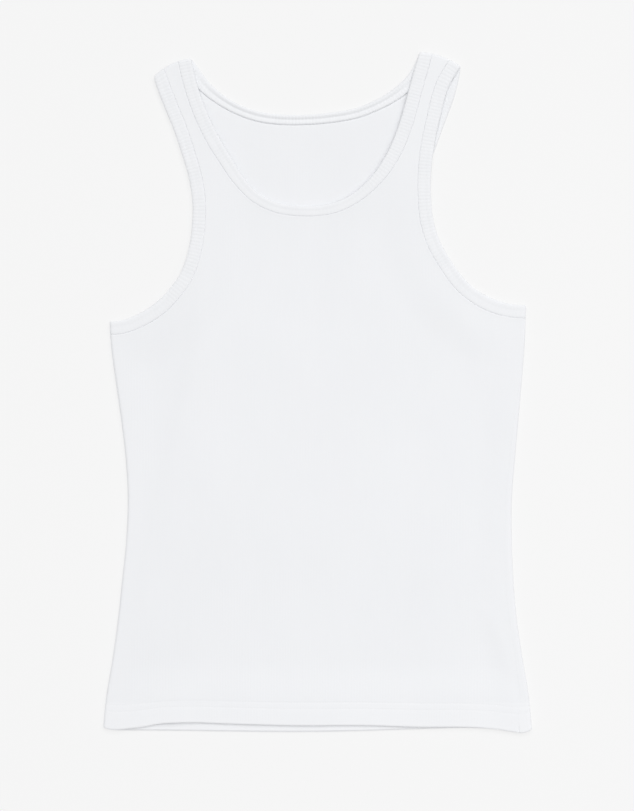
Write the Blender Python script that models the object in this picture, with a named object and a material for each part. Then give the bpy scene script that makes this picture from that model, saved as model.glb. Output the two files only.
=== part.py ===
"""Ribbed cotton tank top, laid flat on its back panel with the front on top.

The row frame: +X to the right and +Y from the hem to the neck as the laid top is seen
from above, +Z up off the table, and the origin on the table under the middle of the top.

Every piece is first drawn in a flat pattern plane that covers the laid top and runs on
past its folds. lay() then puts a point of that plane where the cloth comes to lie: on
the front layer or on the back one, and round the side folds and the folds at the tops
of the straps. Lengths below are in millimetres, and the meshes are in metres.
"""

import math
from collections import namedtuple

import bmesh
import bpy
from mathutils import Vector

MM = 0.001

# Cloth and seams
CLOTH = 1.2  # wall of the rib-knit panels
BAND = 2.2  # wall of the doubled rib bindings
BAND_WIDTH = 11.3
NECK_ROLLED_WIDTH = 8.7  # the neck binding rolls in round the front dip and along the back
SEAM_GAP = 0.32
HEM_DEPTH = 20.0
HEM_TURN_UP = 1.2  # the second layer of cloth inside the hem
SEAM_ROLL = 4.3  # the side seams lie this far in from the folds: right one on top, left one below

# How the layers lie
FOLD_RADIUS = 2.6  # outside radius of the side folds and of the folds at the strap tops
FRONT_LOW = 3.4  # outer face of the front layer over the middle of the body
FRONT_HIGH = 5.2  # the same at the side folds, the hem and the straps
BAND_PROUD = 0.4  # the front bindings stand this far above the panel
CREST_PAST_FOLD = (math.pi / 2 - 1) * FOLD_RADIUS  # cloth used up by a quarter turn
ARMHOLE_MIDDLE, ARMHOLE_RADIUS = (178.0, 146.0), 80.0  # roughly, for both armholes
STRAPS_FROM = 240.0  # only the straps and the necklines reach above this height
STRAP_SWING = 16.0

# The pattern plane
HALF_WIDTH = 172.0
MARGIN = 15.0  # beside the folds the plane keeps true millimetres
HEM_LINE = -288.0
HEM_EASE = 60.0  # the waviness of the hem fades out over this height
PANEL_STEP = 18.0
BAND_STEP = 8.0
FRONT, BACK = "front", "back"

Side = namedtuple("Side", "up left right")
SIDES = [
    Side(-290, -184.8, 183.8),
    Side(-262, -182.0, 181.2),
    Side(-230, -176.7, 175.9),
    Side(-196, -172.0, 170.8),
    Side(-161, -168.2, 167.8),
    Side(-127, -164.8, 166.4),
    Side(-93, -163.4, 166.4),
    Side(-58, -165.1, 169.0),
    Side(-24, -169.0, 172.0),
    Side(11, -174.0, 175.0),
    Side(45, -178.2, 177.6),
    Side(75, -179.0, 178.6),
    Side(300, -179.0, 178.6),
]

Hem = namedtuple("Hem", "x front back")
HEMS = [
    Hem(-190, -287.0, -287.0),
    Hem(-183, -288.0, -288.0),
    Hem(-177, -289.3, -289.6),
    Hem(-160, -288.6, -290.4),
    Hem(-148, -287.0, -290.5),
    Hem(-134, -284.4, -290.6),
    Hem(-113, -283.4, -290.8),
    Hem(-72, -284.6, -291.4),
    Hem(-17, -286.0, -291.8),
    Hem(43, -285.9, -290.8),
    Hem(84, -287.2, -289.4),
    Hem(139, -288.0, -288.6),
    Hem(153, -289.3, -289.3),
    Hem(167, -291.4, -291.4),
    Hem(177, -292.0, -292.0),
    Hem(183, -290.0, -290.0),
    Hem(190, -289.0, -289.0),
]

StrapTop = namedtuple("StrapTop", "outer inner bow")
STRAP_TOPS = {
    "left": StrapTop(Vector((-141.0, 271.0)), Vector((-108.7, 286.5)), 3.6),
    "right": StrapTop(Vector((122.6, 279.8)), Vector((87.0, 292.2)), 3.0),
}

# Free edges of the bindings between the folds, in the order x, y. An armhole runs from
# the underarm to the strap, and a neckline from the left strap to the right one.
FRONT_ARMHOLES = {
    "left": [
        (-170, 61.5), (-156, 66.5), (-140, 76), (-128.8, 87.3), (-118.3, 102), (-111.2, 122.6),
        (-108.2, 143.2), (-107.8, 164), (-111, 184.5), (-117, 205), (-124, 225.8), (-131.5, 244), (-137.4, 259),
    ],
    "right": [
        (170, 75.4), (157, 77.8), (141.6, 84.4), (126.8, 96), (113.6, 114), (103.7, 132),
        (98.6, 150.2), (96.9, 170), (97.2, 190), (99.4, 210), (104.5, 235), (112, 262),
    ],
}
BACK_ARMHOLES = {
    "left": [
        (-170, 61.5), (-156, 66.8), (-138, 78.5), (-123, 94), (-110, 113), (-102.5, 133),
        (-100, 155), (-101, 177), (-105, 198), (-112, 220), (-121.5, 241), (-132, 258.5),
    ],
    "right": [
        (170, 75.4), (156, 78.6), (138, 87), (121, 99.5), (107, 116), (97, 134),
        (91.8, 154), (91.6, 175), (95, 194), (100.4, 208.5), (109.7, 234), (116.4, 252), (120.4, 267),
    ],
}
NECKLINES = {
    FRONT: [
        (-105.3, 270), (-101.4, 256.5), (-94.3, 238), (-85.5, 220), (-74.6, 201.8), (-66, 187.4),
        (-52, 171.6), (-35, 163), (-12, 160), (10, 161.9), (27, 169), (42.5, 181.6), (54, 196.5),
        (63, 213.5), (71, 235), (77.6, 259), (83.2, 279),
    ],
    BACK: [
        (-103, 279), (-94.3, 267.4), (-82.2, 256.3), (-68, 247.6), (-49.5, 241.2), (-30, 238.8),
        (-9, 238.9), (12, 240.7), (34, 245), (54, 253.8), (67, 262.8), (76.5, 272), (83.4, 283),
    ],
}

# Large soft folds of the front layer: a ridge along x0, y0 to x1, y1. The cloth falls away
# over `before` millimetres on its left and over `after` on its right.
Ridge = namedtuple("Ridge", "x0 y0 x1 y1 before after height")
RIDGES = [
    Ridge(-94, 150, -104, 40, 16, 60, 0.9),
    Ridge(-104, 40, -122, -60, 19, 70, 1.3),
    Ridge(-122, -60, -132, -170, 24, 70, 0.7),
    Ridge(-120, -210, -140, -262, 12, 26, 0.8),
    Ridge(118, 60, 150, -10, 18, 14, 0.6),
]


# ---------------------------------------------------------------- curves in the plane
def along_table(rows, key, column, at):
    """A smooth curve through one column of a table, read at a value of its key column."""
    keys = [getattr(row, key) for row in rows]
    at = min(max(at, keys[0]), keys[-1])
    i = next(n for n in range(len(keys) - 1) if at <= keys[n + 1])
    values = [getattr(row, column) for row in rows]

    def slope(n):
        low, high = max(n - 1, 0), min(n + 1, len(rows) - 1)
        return (values[high] - values[low]) / (keys[high] - keys[low])

    span = keys[i + 1] - keys[i]
    t = (at - keys[i]) / span
    rest = (1 - t) * values[i] + t * values[i + 1]
    bulge_start = slope(i) * span - (values[i + 1] - values[i])
    bulge_end = (values[i + 1] - values[i]) - slope(i + 1) * span
    return rest + t * (1 - t) * ((1 - t) * bulge_start + t * bulge_end)


def smooth_line(points, step=0.5):
    """Points every `step` along a smooth curve through the given ones."""
    ends = [2 * points[0] - points[1]] + points + [2 * points[-1] - points[-2]]
    line = []
    for p0, p1, p2, p3 in zip(ends, ends[1:], ends[2:], ends[3:]):
        count = max(2, round((p2 - p1).length / step))
        knots = [0.0]
        for a, b in ((p0, p1), (p1, p2), (p2, p3)):
            knots.append(knots[-1] + math.sqrt((b - a).length))
        leave = ((p1 - p0) / knots[1] - (p2 - p0) / knots[2] + (p2 - p1) / (knots[2] - knots[1]))
        reach = ((p2 - p1) / (knots[2] - knots[1]) - (p3 - p1) / (knots[3] - knots[1])
                 + (p3 - p2) / (knots[3] - knots[2]))
        leave, reach = leave * (knots[2] - knots[1]), reach * (knots[2] - knots[1])
        for n in range(count):
            t = n / count
            line.append((2 * t**3 - 3 * t**2 + 1) * p1 + (t**3 - 2 * t**2 + t) * leave
                        + (3 * t**2 - 2 * t**3) * p2 + (t**3 - t**2) * reach)
    return line + [points[-1]]


def inward_of(line, n, turn):
    """The unit vector square to the line at its point n, to the side of the cloth."""
    tangent = (line[min(n + 1, len(line) - 1)] - line[max(n - 1, 0)]).normalized()
    return Vector((-tangent.y, tangent.x)) * turn


def smoothstep(value, low, high):
    t = min(max((value - low) / (high - low), 0.0), 1.0)
    return t * t * (3 - 2 * t)


# ---------------------------------------------------------------- the pattern plane
def sides_at(y):
    """The middle and the half width of the laid body at a height."""
    left, right = along_table(SIDES, "up", "left", y), along_table(SIDES, "up", "right", y)
    return (left + right) / 2, (right - left) / 2


def to_pattern(point):
    """The pattern plane's X and Y for a place on the laid top, above the hem's waviness."""
    middle, half = sides_at(point.y)
    q = point.x - middle
    if abs(q) <= half - MARGIN:
        return Vector((q * (HALF_WIDTH - MARGIN) / (half - MARGIN), point.y))
    return Vector((math.copysign(abs(q) - half + HALF_WIDTH, q), point.y))


def from_pattern(pattern, layer):
    """The place on the laid top, run on past its folds, of a point of the pattern plane."""
    y = pattern.y
    if y < HEM_LINE + HEM_EASE:
        hem = along_table(HEMS, "x", layer, pattern.x * 1.07)
        y = hem + (y - HEM_LINE) * (HEM_LINE + HEM_EASE - hem) / HEM_EASE
    middle, half = sides_at(y)
    across = abs(pattern.x)
    if across <= HALF_WIDTH - MARGIN:
        across *= (half - MARGIN) / (HALF_WIDTH - MARGIN)
    else:
        across += half - HALF_WIDTH
    return Vector((middle + math.copysign(across, pattern.x), y))


def strap_frame(side):
    """The middle of a strap's folded end, the direction across the strap and the one up it."""
    top = STRAP_TOPS[side]
    across = (top.inner - top.outer).normalized()
    up = Vector((-across.y, across.x))
    return (top.outer + top.inner) / 2, across, up if up.y > 0 else -up


def past_strap_fold(point, side):
    """How far a point has run up past the arched fold line at the end of a strap."""
    top = STRAP_TOPS[side]
    middle, across, up = strap_frame(side)
    share = (point - middle).dot(across) / ((top.inner - top.outer).length / 2)
    share = min(max(share, -1.2), 1.2)
    return (point - middle).dot(up) - top.bow * (1 - share * share)


# ---------------------------------------------------------------- laying the cloth
def around_fold(inside):
    """Inset from a fold's crest, and rise from 0 on the table to 1 on top, of front cloth
    that lies `inside` millimetres in from the fold; past the fold that number is negative."""
    turn = (FOLD_RADIUS - inside) / FOLD_RADIUS
    if turn <= 0:
        return inside, 1.0
    if turn < math.pi:
        return FOLD_RADIUS * (1 - math.sin(turn)), (1 + math.cos(turn)) / 2
    return FOLD_RADIUS * (1 + turn - math.pi), 0.0


def ridge_height(x, y):
    height = 0.0
    for ridge in RIDGES:
        start, run = Vector((ridge.x0, ridge.y0)), Vector((ridge.x1 - ridge.x0, ridge.y1 - ridge.y0))
        share = (Vector((x, y)) - start).dot(run) / run.length_squared
        off = (x - ridge.x0) - min(max(share, 0.0), 1.0) * run.x
        reach = ridge.before if off < 0 else ridge.after
        fade = smoothstep(share, -0.35, 0.1) * smoothstep(-share, -1.35, -0.9)
        height = max(height, ridge.height * fade * math.exp(-((off / reach) ** 2)))
    return height


def front_height(x, y):
    """Height of the outer face of the front layer: it rests low on the back in the middle,
    and rides up on the side folds, the turned-up hem and the doubled bindings."""
    middle, half = sides_at(y)
    at_side = 1 - smoothstep(half - abs(x - middle), FOLD_RADIUS, 34)
    at_hem = 1 - smoothstep(y, HEM_LINE + HEM_DEPTH + 6, HEM_LINE + HEM_DEPTH + 40)
    from_armhole = math.hypot(abs(x) - ARMHOLE_MIDDLE[0], y - ARMHOLE_MIDDLE[1]) - ARMHOLE_RADIUS
    at_armholes = 1 - smoothstep(from_armhole, BAND_WIDTH + 4, 50)
    at_straps = smoothstep(y, 130, 205)
    high = 1 - (1 - at_side) * (1 - at_hem) * (1 - at_armholes) * (1 - at_straps)
    folds = ridge_height(x, y) * smoothstep(half - abs(x - middle), FOLD_RADIUS, 20)
    return FRONT_LOW + (FRONT_HIGH - FRONT_LOW) * high + folds


def surface_point(place, layer):
    """Where the outer face of a layer lies for a place on the laid top, run on past its
    folds, and the rise there from 0 on the table to 1 on the front."""
    x, y = place
    if y > STRAPS_FROM:
        side = "left" if x < 0 else "right"
        past = past_strap_fold(Vector(place), side)
        inset, rise = around_fold(-past)
        x, y = Vector(place) - strap_frame(side)[2] * (past + inset)
    else:
        middle, half = sides_at(y)
        inset, rise = around_fold(half - abs(x - middle))
        x = middle + math.copysign(half - inset, x - middle)
    if layer == BACK:
        rise = 1 - rise
    return Vector((x, y, rise * front_height(x, y))), rise


def lay(place, layer, depth, proud=0.0):
    """The point `depth` millimetres in from the outer face of a layer, in metres."""
    near = 0.05
    point, rise = surface_point(place, layer)
    run_x = surface_point(place + Vector((near, 0)), layer)[0] - surface_point(place - Vector((near, 0)), layer)[0]
    run_y = surface_point(place + Vector((0, near)), layer)[0] - surface_point(place - Vector((0, near)), layer)[0]
    outward = run_x.cross(run_y).normalized() * (1 if layer == FRONT else -1)
    return (point + outward * (proud * rise - depth)) * MM


# ---------------------------------------------------------------- edges and their bindings
def edge_lines():
    """Free edges in the plane, from the crest of one fold to the crest of the next."""

    def strap_crest(side, corner):
        return getattr(STRAP_TOPS[side], corner) + strap_frame(side)[2] * CREST_PAST_FOLD

    lines = {}
    for layer, armholes in ((FRONT, FRONT_ARMHOLES), (BACK, BACK_ARMHOLES)):
        for side, points in armholes.items():
            underarm = Vector(points[0])
            middle, half = sides_at(underarm.y)
            out = math.copysign(half + CREST_PAST_FOLD, underarm.x)
            crest = Vector((middle + out, underarm.y - 0.6))
            points = [crest, *map(Vector, points), strap_crest(side, "outer")]
            lines[layer, side] = smooth_line(points)
        neck = [strap_crest("left", "inner"), *map(Vector, NECKLINES[layer]), strap_crest("right", "inner")]
        lines[layer, "neck"] = smooth_line(neck)
    return lines


def stations(line, fold_step=1.2, fold_count=9):
    """Indices of the line's points where a section is set: close at the folds, wider between."""
    along = [0.0]
    for a, b in zip(line, line[1:]):
        along.append(along[-1] + (b - a).length)
    folded = fold_step * fold_count
    spans = round((along[-1] - 2 * folded) / BAND_STEP)
    wanted = [fold_step * n for n in range(fold_count)]
    wanted += [folded + (along[-1] - 2 * folded) * n / spans for n in range(spans + 1)]
    wanted += [along[-1] - fold_step * n for n in range(fold_count - 1, -1, -1)]
    return [min(range(len(along)), key=lambda i: abs(along[i] - w)) for w in wanted]


def band_width(name, layer, point):
    """The neck binding rolls in, so it is narrower, round the front dip and along the back."""
    if name != "neck":
        return BAND_WIDTH
    from_y, to_y = (165, 215) if layer == FRONT else (246, 275)
    return NECK_ROLLED_WIDTH + (BAND_WIDTH - NECK_ROLLED_WIDTH) * smoothstep(point.y, from_y, to_y)


def toward_strap_middle(point):
    """The direction across a binding along the arched fold, from one corner of the fold."""
    side = "left" if point.x < 0 else "right"
    top = STRAP_TOPS[side]
    middle, across, up = strap_frame(side)
    share = 1 - BAND_WIDTH / ((top.inner - top.outer).length / 2)
    rise = top.bow * (1 - share * share) / BAND_WIDTH
    return (across * (1 if (middle - point).dot(across) > 0 else -1) + up * rise).normalized()


def edge_stations(lines, layer, name):
    """(point, inward vector, binding width) at each section of one free edge. The inward
    vectors swing round to lie along the fold where the edge goes over the top of a strap."""
    line = lines[layer, name]
    turn = 1 if name == "right" else -1
    found = []
    for n in stations(line):
        point, inward = line[n], inward_of(line, n, turn)
        for end in (line[0], line[-1]):
            if end.y > STRAPS_FROM:
                near = 1 - smoothstep((point - end).length, 0, STRAP_SWING)
                inward = inward.lerp(toward_strap_middle(end), near).normalized()
        found.append((point, inward, band_width(name, layer, point)))
    return found


def binding_section(width):
    """Across and depth of the section's corners: a round free edge and a square seam side."""
    round_edge = BAND / 2
    section = [(width, 0.0), (width * 0.5, 0.0)]
    for n in range(5):
        angle = math.pi / 2 + math.pi * n / 4
        section.append((round_edge + round_edge * math.cos(angle), round_edge - round_edge * math.sin(angle)))
    return section + [(width * 0.5, BAND), (width, BAND)]


def make_binding(name, lines, edge):
    """A binding is one loop: along the front edge, over the fold, back along the back
    edge and round the other fold. Its section is extruded from station to station."""
    loop = [(FRONT, *station) for station in edge_stations(lines, FRONT, edge)]
    loop += [(BACK, *station) for station in reversed(edge_stations(lines, BACK, edge)[1:-1])]
    mesh = bmesh.new()
    count = len(binding_section(BAND_WIDTH))
    ring = bmesh.ops.create_circle(mesh, segments=count, radius=1)["verts"]
    edges = first_edges = list({e for v in ring for e in v.link_edges})

    def place_ring(verts, station):
        layer, point, inward, width = station
        for vert, (across, depth) in zip(verts, binding_section(width)):
            vert.co = lay(point + inward * across, layer, depth, BAND_PROUD)

    place_ring(ring, loop[0])
    for station in loop[1:]:
        made = bmesh.ops.extrude_edge_only(mesh, edges=edges)["geom"]
        following = {v: None for v in ring}
        new_verts = {g for g in made if isinstance(g, bmesh.types.BMVert)}
        for vert in ring:
            following[vert] = next(e.other_vert(vert) for e in vert.link_edges if e.other_vert(vert) in new_verts)
        ring = [following[v] for v in ring]
        edges = [g for g in made if isinstance(g, bmesh.types.BMEdge)]
        place_ring(ring, station)
    bmesh.ops.bridge_loops(mesh, edges=edges + first_edges)
    return finish(name, mesh)


# ---------------------------------------------------------------- the cut panels
def up_to_shoulder(line, side):
    """A line cut off where it comes to the shoulder seam at the crest of a strap's fold."""
    limit = CREST_PAST_FOLD - SEAM_GAP / 2
    kept = [line[0]]
    for point in line[1:]:
        here, there = past_strap_fold(kept[-1], side), past_strap_fold(point, side)
        if there >= limit:
            return kept + [kept[-1].lerp(point, (limit - here) / (there - here))]
        kept.append(point)
    return kept


def seam_line(lines, layer, edge):
    """Where a panel is cut along one binding, run on past the folds at both ends."""
    cut = [p + inward * (width + SEAM_GAP) for p, inward, width in edge_stations(lines, layer, edge)]
    beyond = [cut[-1] + (cut[-1] - cut[-2]).normalized() * 4]
    if edge == "neck":
        return [cut[0] + (cut[0] - cut[1]).normalized() * 4] + cut + beyond
    return [cut[0] + Vector((math.copysign(12, cut[0].x), 0))] + cut + beyond


def panel_outline(lines, layer):
    """The cut piece in the pattern plane, anticlockwise from the left end of the hem."""
    right, left, neck = (seam_line(lines, layer, edge) for edge in ("right", "left", "neck"))
    right, left = up_to_shoulder(right, "right"), up_to_shoulder(left, "left")
    neck = up_to_shoulder(neck, "right")
    neck = up_to_shoulder(list(reversed(neck)), "left")

    def over_strap(first, last, side):
        row = []
        for n in (1, 2, 3):
            point = first.lerp(last, n / 4)
            short_by = CREST_PAST_FOLD - SEAM_GAP / 2 - past_strap_fold(point, side)
            row.append(point + strap_frame(side)[2] * short_by)
        return row

    upper = right + over_strap(right[-1], neck[0], "right") + neck
    upper += over_strap(neck[-1], left[-1], "left") + list(reversed(left))
    upper = [to_pattern(p) for p in upper]
    far = HALF_WIDTH + 20
    return [Vector((-far, HEM_LINE)), Vector((far, HEM_LINE)), Vector((far, upper[0].y)), *upper,
            Vector((-far, upper[-1].y))]


def bisect(mesh, point, normal, drop_outside=False, only=None):
    faces = [f for f in mesh.faces if only is None or only(f.calc_center_median())]
    geometry = list({g for f in faces for g in (f, *f.edges, *f.verts)})
    bmesh.ops.bisect_plane(mesh, geom=geometry, dist=1e-5, plane_co=(*point, 0), plane_no=(*normal, 0),
                           clear_outer=drop_outside)


def make_panel(name, lines, layer):
    """A panel is cut out flat, scored so that it can bend, doubled to a wall and laid."""
    mesh = bmesh.new()
    mesh.faces.new([mesh.verts.new((p.x, p.y, 0)) for p in panel_outline(lines, layer)])

    # The side seams: the right one lies on the front and the left one underneath.
    short = HALF_WIDTH - SEAM_ROLL - SEAM_GAP / 2
    long = HALF_WIDTH + math.pi * FOLD_RADIUS + SEAM_ROLL - 2 * FOLD_RADIUS - SEAM_GAP / 2
    left, right = (long, short) if layer == FRONT else (short, long)
    bisect(mesh, (-left, 0), (-1, 0), drop_outside=True)
    bisect(mesh, (right, 0), (1, 0), drop_outside=True)

    quarter = FOLD_RADIUS * math.pi / 2
    fold_scores = [HALF_WIDTH - 10, HALF_WIDTH - 5.6]
    fold_scores += [HALF_WIDTH - FOLD_RADIUS + quarter * n / 3 for n in range(7)]
    columns = round(2 * (HALF_WIDTH - MARGIN) / PANEL_STEP)
    scores = [(HALF_WIDTH - MARGIN) * (2 * n / columns - 1) for n in range(columns + 1)]
    for x in sorted(scores + fold_scores + [-x for x in fold_scores]):
        bisect(mesh, (x, 0), (1, 0))
    rows = round((270 - HEM_LINE - HEM_DEPTH) / PANEL_STEP / 1.15)
    scores = [HEM_LINE + HEM_DEPTH - 0.8]
    scores += [HEM_LINE + HEM_DEPTH + (270 - HEM_LINE - HEM_DEPTH) * n / rows for n in range(rows + 1)]
    for y in scores:
        bisect(mesh, (0, y), (0, 1))
    for side, top in STRAP_TOPS.items():
        middle, across, up = strap_frame(side)
        reach = -1 if side == "left" else 1
        for n in range(4):
            at = to_pattern(middle + up * (top.bow - FOLD_RADIUS + quarter * n / 3))
            bisect(mesh, at, up, only=lambda c: c.x * reach > 40 and c.y > STRAPS_FROM)

    inner = bmesh.ops.extrude_face_region(mesh, geom=mesh.faces[:])["geom"]
    inner = {g for g in inner if isinstance(g, bmesh.types.BMVert)}
    for vert in mesh.verts:
        pattern = Vector(vert.co[:2])
        in_hem = pattern.y < HEM_LINE + HEM_DEPTH - 0.4
        depth = 0.0
        if vert in inner:
            depth = CLOTH + HEM_TURN_UP * in_hem
        vert.co = lay(from_pattern(pattern, layer), layer, depth)
    return finish(name, mesh)


# ---------------------------------------------------------------- objects
def cotton(name, colour, roughness):
    material = bpy.data.materials.new(name)
    material.use_nodes = True
    shader = material.node_tree.nodes["Principled BSDF"]
    shader.inputs["Base Color"].default_value = (*colour, 1)
    shader.inputs["Roughness"].default_value = roughness
    shader.inputs["Metallic"].default_value = 0.0
    return material


def finish(name, mesh):
    bmesh.ops.recalc_face_normals(mesh, faces=mesh.faces[:])
    if mesh.calc_volume(signed=True) < 0:
        bmesh.ops.reverse_faces(mesh, faces=mesh.faces[:])
    data = bpy.data.meshes.new(name)
    mesh.to_mesh(data)
    mesh.free()
    data.shade_smooth()
    data.set_sharp_from_angle(angle=math.radians(40))
    data.materials.append(cotton(name, (0.86, 0.87, 0.90), 0.9))
    obj = bpy.data.objects.new(name, data)
    bpy.data.collections["tank_top"].objects.link(obj)
    return obj


def main():
    for obj in list(bpy.data.objects):
        bpy.data.objects.remove(obj)
    bpy.context.scene.collection.children.link(bpy.data.collections.new("tank_top"))
    lines = edge_lines()
    make_panel("front_panel", lines, FRONT)
    make_panel("back_panel", lines, BACK)
    make_binding("neck_binding", lines, "neck")
    make_binding("armhole_binding_left", lines, "left")
    make_binding("armhole_binding_right", lines, "right")


main()
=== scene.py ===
import math
from collections import namedtuple

import bmesh
import bpy
import numpy as np
from mathutils import Matrix, Vector


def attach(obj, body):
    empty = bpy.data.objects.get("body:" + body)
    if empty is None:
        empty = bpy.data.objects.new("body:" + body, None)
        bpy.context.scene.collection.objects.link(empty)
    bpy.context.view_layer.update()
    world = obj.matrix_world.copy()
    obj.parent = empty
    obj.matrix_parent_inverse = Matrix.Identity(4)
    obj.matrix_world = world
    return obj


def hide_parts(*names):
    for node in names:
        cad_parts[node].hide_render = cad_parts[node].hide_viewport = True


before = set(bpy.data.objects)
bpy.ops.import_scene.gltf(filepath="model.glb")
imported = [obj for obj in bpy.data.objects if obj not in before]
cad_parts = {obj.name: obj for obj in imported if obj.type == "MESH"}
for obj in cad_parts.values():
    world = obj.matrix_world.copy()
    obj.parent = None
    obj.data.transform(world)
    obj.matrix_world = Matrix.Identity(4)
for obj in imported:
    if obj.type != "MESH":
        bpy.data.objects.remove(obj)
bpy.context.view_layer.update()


# ---------------------------------------------------------------- back panel
# The back of the top, cut from fine cotton rib about 1.2 mm thick. It lies on its outer
# face, with its lower edge turned up inside and sewn down. Its right side runs over the
# fold and meets the front on top; its left side stops underneath.
#
# All the cloth is shaped flat and then laid. In the flat, X and Y are millimetres across
# and up the body, and Z is the height above the cloth's outer face. Sizes are in mm.
MM = 0.001
CLOTH = 1.2  # wall of the cloth
BAND_WIDTH = 11.3
SEAM_GAP = 0.05  # between a panel and a binding
SIDE_SEAM_GAP = 0.02
HEM_DEPTH = 22.0
HEM_TURN_UP = 1.1  # the second layer inside the hem
FOLD_RADIUS = 2.6  # of the side folds and of the folds at the strap tops
HALF_WIDTH = 172.0  # of the flat, from its middle to where the folds begin
MARGIN = 15.0  # beside the folds the flat keeps true millimetres
HEM_LINE = -288.0  # the foot of the hem in the flat
HEM_EASE = 60.0  # the waviness of the hem fades out over this height
HEM_SPREAD = 1.07  # the body is this much wider at the hem than the flat
STRAPS_FROM = 240.0  # only the straps and the necklines reach above this height
CREST_PAST_FOLD = (math.pi / 2 - 1) * FOLD_RADIUS  # cloth used up by a quarter turn
FRONT, BACK = "front", "back"

Side = namedtuple("Side", "up left right")
SIDES = [
    Side(-290, -184.8, 183.8),
    Side(-262, -182.0, 181.2),
    Side(-230, -176.7, 175.9),
    Side(-196, -172.0, 170.8),
    Side(-161, -168.2, 167.8),
    Side(-127, -164.8, 166.4),
    Side(-93, -163.4, 166.4),
    Side(-58, -165.1, 169.0),
    Side(-24, -169.0, 172.0),
    Side(11, -174.0, 175.0),
    Side(45, -178.2, 177.6),
    Side(75, -179.0, 178.6),
    Side(300, -179.0, 178.6),
]

# How far the two side seams lie in from the folds: the right one on top, the left one below.
SeamInset = namedtuple("SeamInset", "up left right")
SEAM_INSETS = [
    SeamInset(-294, 5.0, 12.2),
    SeamInset(-276, 4.8, 10.8),
    SeamInset(-250, 4.6, 7.6),
    SeamInset(-208, 4.4, 6.4),
    SeamInset(-176, 4.3, 7.0),
    SeamInset(-144, 4.3, 6.5),
    SeamInset(-75, 4.3, 5.1),
    SeamInset(-41, 4.3, 4.4),
    SeamInset(0, 4.3, 2.7),
    SeamInset(45, 4.3, 1.6),
    SeamInset(80, 4.3, 1.2),
]

Hem = namedtuple("Hem", "x front back")
HEMS = [
    Hem(-190, -287.0, -287.0),
    Hem(-183, -288.0, -288.0),
    Hem(-177, -289.3, -289.6),
    Hem(-160, -288.6, -290.4),
    Hem(-148, -287.0, -290.5),
    Hem(-134, -284.4, -290.6),
    Hem(-113, -283.4, -290.8),
    Hem(-72, -284.6, -291.4),
    Hem(-17, -286.0, -291.8),
    Hem(43, -285.9, -290.8),
    Hem(84, -287.2, -289.4),
    Hem(139, -288.0, -288.6),
    Hem(153, -289.3, -289.3),
    Hem(167, -291.4, -291.4),
    Hem(177, -292.0, -292.0),
    Hem(183, -290.0, -290.0),
    Hem(190, -289.0, -289.0),
]

StrapTop = namedtuple("StrapTop", "outer inner bow")
STRAP_TOPS = {
    "left": StrapTop(Vector((-141.0, 271.0)), Vector((-108.7, 286.5)), 3.6),
    "right": StrapTop(Vector((122.6, 279.8)), Vector((87.0, 292.2)), 3.0),
}

# The bound edges between the folds, x and y. An armhole runs from the underarm up to the
# strap, and a neckline from the left strap to the right one.
EDGES = {
    (FRONT, "left"): [
        (-170, 61.5), (-156, 66.5), (-140, 76), (-128.8, 87.3), (-118.3, 102), (-111.2, 122.6),
        (-108.2, 143.2), (-107.8, 164), (-111, 184.5), (-117, 205), (-124, 225.8),
        (-131.5, 244), (-137.4, 259),
    ],
    (FRONT, "right"): [
        (170, 75.4), (157, 77.8), (141.6, 84.4), (126.8, 96), (113.6, 114), (103.7, 132),
        (98.6, 150.2), (96.9, 170), (97.2, 190), (99.4, 210), (104.5, 235), (112, 262),
    ],
    (BACK, "left"): [
        (-170, 61.5), (-156, 66.8), (-138, 78.5), (-123, 94), (-110, 113), (-102.5, 133),
        (-100, 155), (-101, 177), (-105, 198), (-112, 220), (-121.5, 241), (-132, 258.5),
    ],
    (BACK, "right"): [
        (170, 75.4), (156, 78.6), (138, 87), (121, 99.5), (107, 116), (97, 134),
        (91.8, 154), (91.6, 175), (95, 194), (100.4, 208.5), (109.7, 234), (116.4, 252),
        (120.4, 267),
    ],
    (FRONT, "neck"): [
        (-105.3, 270), (-101.4, 256.5), (-94.3, 238), (-85.5, 220), (-74.6, 201.8), (-66, 187.4),
        (-52, 171.6), (-35, 163), (-12, 160), (10, 161.9), (27, 169), (42.5, 181.6), (54, 196.5),
        (63, 213.5), (71, 235), (77.6, 259), (83.2, 279),
    ],
    (BACK, "neck"): [
        (-103, 279), (-94.3, 267.4), (-82.2, 256.3), (-68, 247.6), (-49.5, 241.2), (-30, 238.8),
        (-9, 238.9), (12, 240.7), (34, 245), (54, 253.8), (67, 262.8), (76.5, 272), (83.4, 283),
    ],
}


def smoothstep(value, low, high):
    t = np.clip((value - low) / (high - low), 0, 1)
    return t * t * (3 - 2 * t)


def read(rows, column, at):
    """A smooth curve through one column of a table, read at values of its first column."""
    keys = np.array([row[0] for row in rows], float)
    values = np.array([getattr(row, column) for row in rows], float)
    slopes = np.gradient(values, keys)
    at = np.clip(at, keys[0], keys[-1])
    i = np.clip(np.searchsorted(keys, at, side="right") - 1, 0, len(keys) - 2)
    span = keys[i + 1] - keys[i]
    t = (at - keys[i]) / span
    return ((2 * t**3 - 3 * t**2 + 1) * values[i] + (t**3 - 2 * t**2 + t) * span * slopes[i]
            + (3 * t**2 - 2 * t**3) * values[i + 1] + (t**3 - t**2) * span * slopes[i + 1])


def sides_at(y):
    """The middle and the half width of the laid body at a height."""
    left, right = read(SIDES, "left", y), read(SIDES, "right", y)
    return (left + right) / 2, (right - left) / 2


def to_flat(x, y):
    """Where a point of the body, measured on past the folds, lies in the flat."""
    middle, half = sides_at(y)
    across = np.abs(x - middle)
    inner = across * (HALF_WIDTH - MARGIN) / (half - MARGIN)
    across = np.where(across <= half - MARGIN, inner, across - half + HALF_WIDTH)
    return np.copysign(across, x - middle), y


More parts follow.
